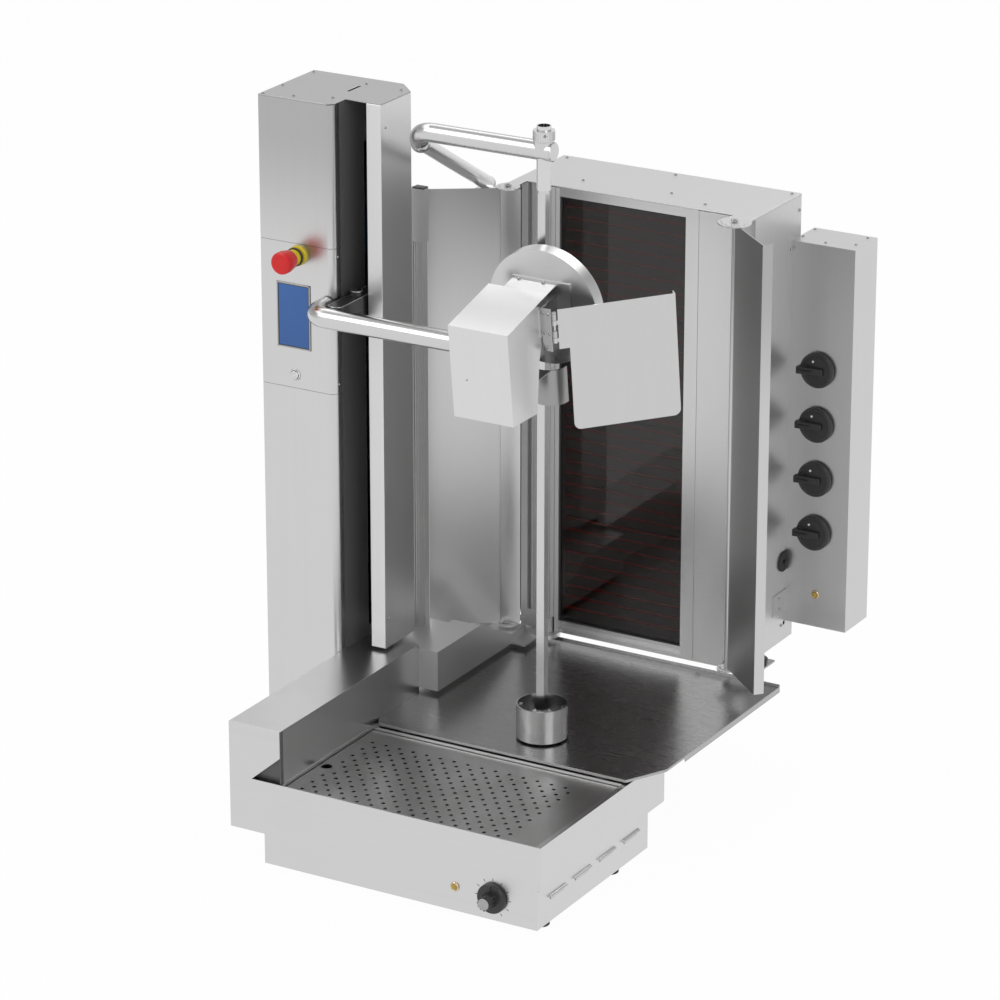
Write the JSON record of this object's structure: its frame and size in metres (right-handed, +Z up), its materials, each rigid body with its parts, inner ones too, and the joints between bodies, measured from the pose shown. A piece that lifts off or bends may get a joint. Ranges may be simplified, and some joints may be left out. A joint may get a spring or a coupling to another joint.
{
  "type": "electric skewer grill",
  "caption": "Vertical electric grill with a motor-driven skewer, heated glass panel with wings, drip tray, and a lifting slicer arm on a control tower.",
  "frame": {"origin": "middle of the overall footprint on the bench plane, under the rubber feet", "axes": "+X to the right as seen from the tray's front, +Y to the back, +Z up along the tower"},
  "size_m": [0.869, 1.073, 1.296],
  "materials": {
    "tray_steel": "satin brushed stainless sheet",
    "plate_steel": "smooth polished stainless sheet",
    "pan_steel": "smooth stainless sheet",
    "foot_rubber": "matt black rubber",
    "heater_dark": "dark oxidised heater tube",
    "inner_black": "black moulded switch body",
    "knob_black": "black moulded plastic",
    "gland_black": "black rubber bush",
    "lamp_amber": "amber lens",
    "motor_grey": "grey painted motor casing",
    "polished_steel": "polished stainless",
    "cup_steel": "turned stainless",
    "tube_steel": "polished stainless tube",
    "tower_steel": "satin brushed stainless sheet",
    "liner_black": "near-black smooth liner",
    "screen_blue": "blue touch screen in a thin grey frame",
    "stop_yellow": "yellow collar",
    "stop_red": "red mushroom head",
    "button_metal": "light metal button",
    "rod_steel": "ground steel rod",
    "slide_black": "black anodised aluminium",
    "head_steel": "satin brushed stainless sheet",
    "guard_steel": "turned stainless",
    "blade_steel": "ground blade steel",
    "hinge_metal": "stainless hinge",
    "post_aluminium": "ribbed anodised aluminium",
    "grill_steel": "satin brushed stainless sheet",
    "pillar_aluminium": "ribbed natural aluminium profile",
    "mirror_steel": "mirror-polished stainless sheet",
    "dark_glass": "dark smoked heat-proof glass",
    "wire_red": "dull red heating wire",
    "heater_ceramic": "dark ceramic plate",
    "wing_steel": "bright brushed stainless sheet",
    "control_steel": "satin brushed stainless sheet"
  },
  "bodies": {
    "base": {"tray_shell": "tray_steel", "raised_wall": "tray_steel", "tray_base": "tray_steel", "rear_stand": "tray_steel", "feet": "foot_rubber", "base_plate": "plate_steel", "tray_heater": "heater_dark", "tray_thermostat": "inner_black", "tray_lamp": "lamp_amber", "spit_gearmotor": "motor_grey", "spit_holder": "tube_steel", "tower_column": "tower_steel", "tower_front": "tower_steel", "tower_top": "tower_steel", "channel_liner": "liner_black", "channel_cover": "tower_steel", "screen": "screen_blue", "stop_base": "stop_yellow", "guide_rods": "rod_steel", "lift_motor": "motor_grey", "arm_bracket": "tray_steel", "guard_post": "post_aluminium"},
    "pan": {"drip_pan": "pan_steel"},
    "grid": {"perforated_plate": "plate_steel"},
    "tray_dial": {"tray_knob": "knob_black"},
    "spit": {"drive_shaft": "polished_steel", "drive_cup": "cup_steel", "spit_bar": "polished_steel"},
    "sleeve": {"spit_sleeve": "polished_steel"},
    "stop": {"stop_head": "stop_red"},
    "start": {"start_button": "button_metal"},
    "screw": {"lead_screw": "rod_steel"},
    "lift": {"lift_block": "slide_black"},
    "arm": {"arm_slider": "slide_black", "arm_tube": "tube_steel"},
    "head": {"head_box": "head_steel", "blade_guard": "guard_steel", "head_motor": "motor_grey", "flap_hinges": "hinge_metal", "small_guard": "head_steel"},
    "cutter": {"blade": "blade_steel"},
    "flap": {"slice_flap": "head_steel"},
    "grill": {"grill_housing": "grill_steel", "grill_top_plate": "grill_steel", "frame_pillar": "pillar_aluminium", "frame_rails": "pillar_aluminium", "side_panel": "mirror_steel", "glass": "dark_glass", "heating_wires": "wire_red", "heater_plates": "heater_ceramic", "cable_gland": "gland_black", "control_box": "control_steel", "switches": "inner_black"},
    "left_wing": {"wing_left": "wing_steel"},
    "right_wing": {"wing_right": "wing_steel"},
    "clamp": {"clamp_knob": "knob_black"},
    "dial_1": {"power_knob_1": "knob_black"},
    "dial_2": {"power_knob_2": "knob_black"},
    "dial_3": {"power_knob_3": "knob_black"},
    "dial_4": {"power_knob_4": "knob_black"}
  },
  "joints": [
    {"name": "lift_travel", "type": "slide", "parent": "base", "child": "lift", "axis": [0, 0, 1], "range_m": [-0.56, 0.23]},
    {"name": "screw_turn", "type": "hinge", "parent": "base", "child": "screw", "pos_m": [-0.3365, -0.0315, 0.6], "axis": [0, 0, 1], "range_deg": [-10100, 4160]},
    {"name": "arm_reach", "type": "slide", "parent": "lift", "child": "arm", "axis": [0, -1, 0], "range_m": [0, 0.08]},
    {"name": "head_tilt", "type": "hinge", "parent": "arm", "child": "head", "pos_m": [0.123, -0.2025, 0.92], "axis": [1, 0, 0], "range_deg": [-8, 8]},
    {"name": "blade_spin", "type": "hinge", "parent": "head", "child": "cutter", "pos_m": [0.1515, -0.21176, 0.99543], "axis": [0, 0.9925, 0.1219], "continuous": true},
    {"name": "flap_swing", "type": "hinge", "parent": "head", "child": "flap", "pos_m": [0.2045, -0.21838, 0.91805], "axis": [0, -0.1219, 0.9925], "range_deg": [-60, 3]},
    {"name": "spit_spin", "type": "hinge", "parent": "base", "child": "spit", "pos_m": [0.1135, -0.1055, 0.6], "axis": [0, 0, 1], "continuous": true},
    {"name": "sleeve_raise", "type": "slide", "parent": "base", "child": "sleeve", "axis": [0, 0, 1], "range_m": [0, 0.083]},
    {"name": "grill_swivel", "type": "hinge", "parent": "base", "child": "grill", "pos_m": [-0.1125, 0.2995, 0.194], "axis": [0, 0, 1], "range_deg": [-6, 2]},
    {"name": "left_wing_fold", "type": "hinge", "parent": "grill", "child": "left_wing", "pos_m": [-0.1665, 0.2575, 0.6], "axis": [0, 0, 1], "range_deg": [0, 15]},
    {"name": "right_wing_fold", "type": "hinge", "parent": "grill", "child": "right_wing", "pos_m": [0.286, 0.2665, 0.6], "axis": [0, 0, 1], "range_deg": [-60, 75]},
    {"name": "clamp_turn", "type": "hinge", "parent": "grill", "child": "clamp", "pos_m": [0.2925, 0.3775, 0.19], "axis": [0, 0, 1], "range_deg": [-180, 180]},
    {"name": "stop_press", "type": "slide", "parent": "base", "child": "stop", "axis": [0, 1, 0], "range_m": [0, 0.004], "stiffness_N_per_m": 800},
    {"name": "start_press", "type": "slide", "parent": "base", "child": "start", "axis": [0, 1, 0], "range_m": [0, 0.002], "stiffness_N_per_m": 600},
    {"name": "pan_lift", "type": "slide", "parent": "base", "child": "pan", "axis": [0, 0, 1], "range_m": [0, 0.15]},
    {"name": "grid_lift", "type": "slide", "parent": "pan", "child": "grid", "axis": [0, 0, 1], "range_m": [0, 0.12]},
    {"name": "tray_dial_turn", "type": "hinge", "parent": "base", "child": "tray_dial", "pos_m": [0.245, -0.5025, 0.058], "axis": [0, 1, 0], "range_deg": [0, 270]},
    {"name": "dial_1_turn", "type": "hinge", "parent": "grill", "child": "dial_1", "pos_m": [0.3675, 0.4465, 0.4315], "axis": [0, 1, 0], "range_deg": [0, 180]},
    {"name": "dial_2_turn", "type": "hinge", "parent": "grill", "child": "dial_2", "pos_m": [0.3675, 0.4465, 0.5355], "axis": [0, 1, 0], "range_deg": [0, 180]},
    {"name": "dial_3_turn", "type": "hinge", "parent": "grill", "child": "dial_3", "pos_m": [0.3675, 0.4465, 0.6395], "axis": [0, 1, 0], "range_deg": [0, 180]},
    {"name": "dial_4_turn", "type": "hinge", "parent": "grill", "child": "dial_4", "pos_m": [0.3675, 0.4465, 0.7435], "axis": [0, 1, 0], "range_deg": [0, 180]}
  ],
  "couplings": [
    {"joint": "screw_turn", "follows": "lift_travel", "rad_per_m": 314.16}
  ]
}
